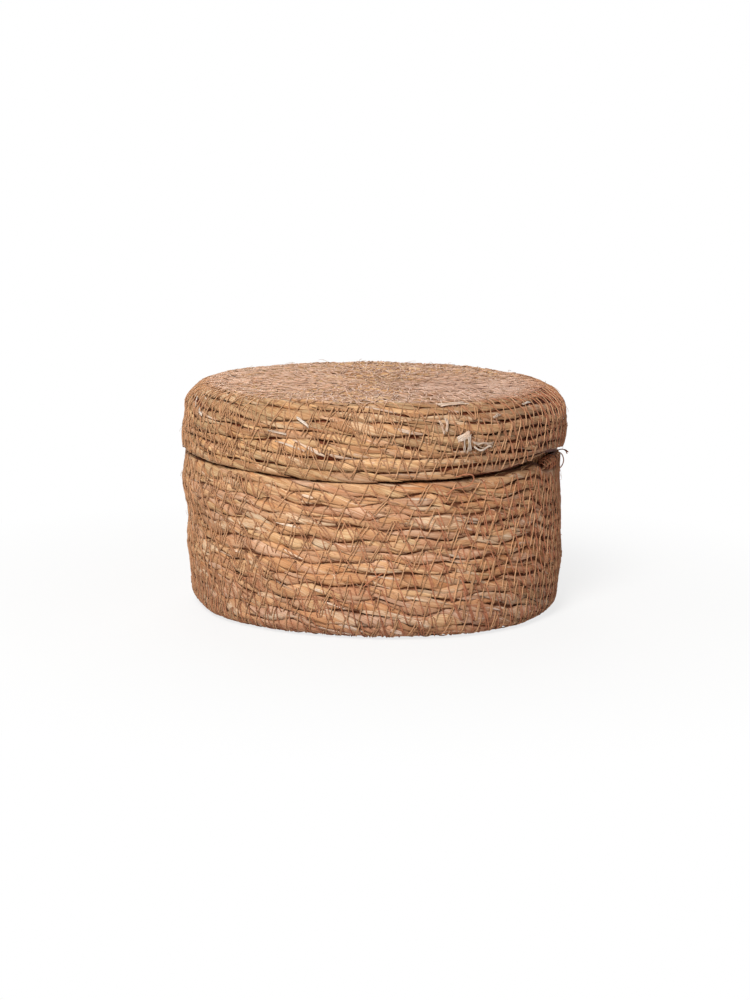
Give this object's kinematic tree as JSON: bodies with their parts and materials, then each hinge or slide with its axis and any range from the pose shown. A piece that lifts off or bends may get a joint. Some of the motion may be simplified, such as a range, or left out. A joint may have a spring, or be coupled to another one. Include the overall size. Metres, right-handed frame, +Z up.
{
  "type": "woven lidded box",
  "caption": "Round low storage box of coiled plant-fibre strand sewn with zigzag thread, with an inner collar and a lift-off lid as wide as the box.",
  "frame": {"origin": "middle of the box's resting face, on the surface that it stands on", "axes": "+Z up along the axis of the box and lid, the picture's view along +Y with +X to the right"},
  "size_m": [0.199, 0.199, 0.1145],
  "materials": {
    "box_strand": "loosely twisted dried leaves, matt with a faint sheen, sewn with brown thread",
    "collar_strand": "loosely twisted dried leaves, matt, a little darker than the outside",
    "lid_strand": "loosely twisted dried leaves, matt with a faint sheen, sewn with brown thread",
    "sewing_thread": "two-ply twisted sewing thread, matt, khaki and pinkish brown"
  },
  "bodies": {
    "box": {"base_coil": "box_strand", "wall_coil": "box_strand", "collar_coil": "collar_strand"},
    "lid": {"lid_top_coil": "lid_strand", "lid_rim_coil": "lid_strand"}
  },
  "joints": [
    {"name": "lid_lift", "type": "slide", "parent": "box", "child": "lid", "axis": [0, 0, 1], "range_m": [0, 0.12]}
  ]
}
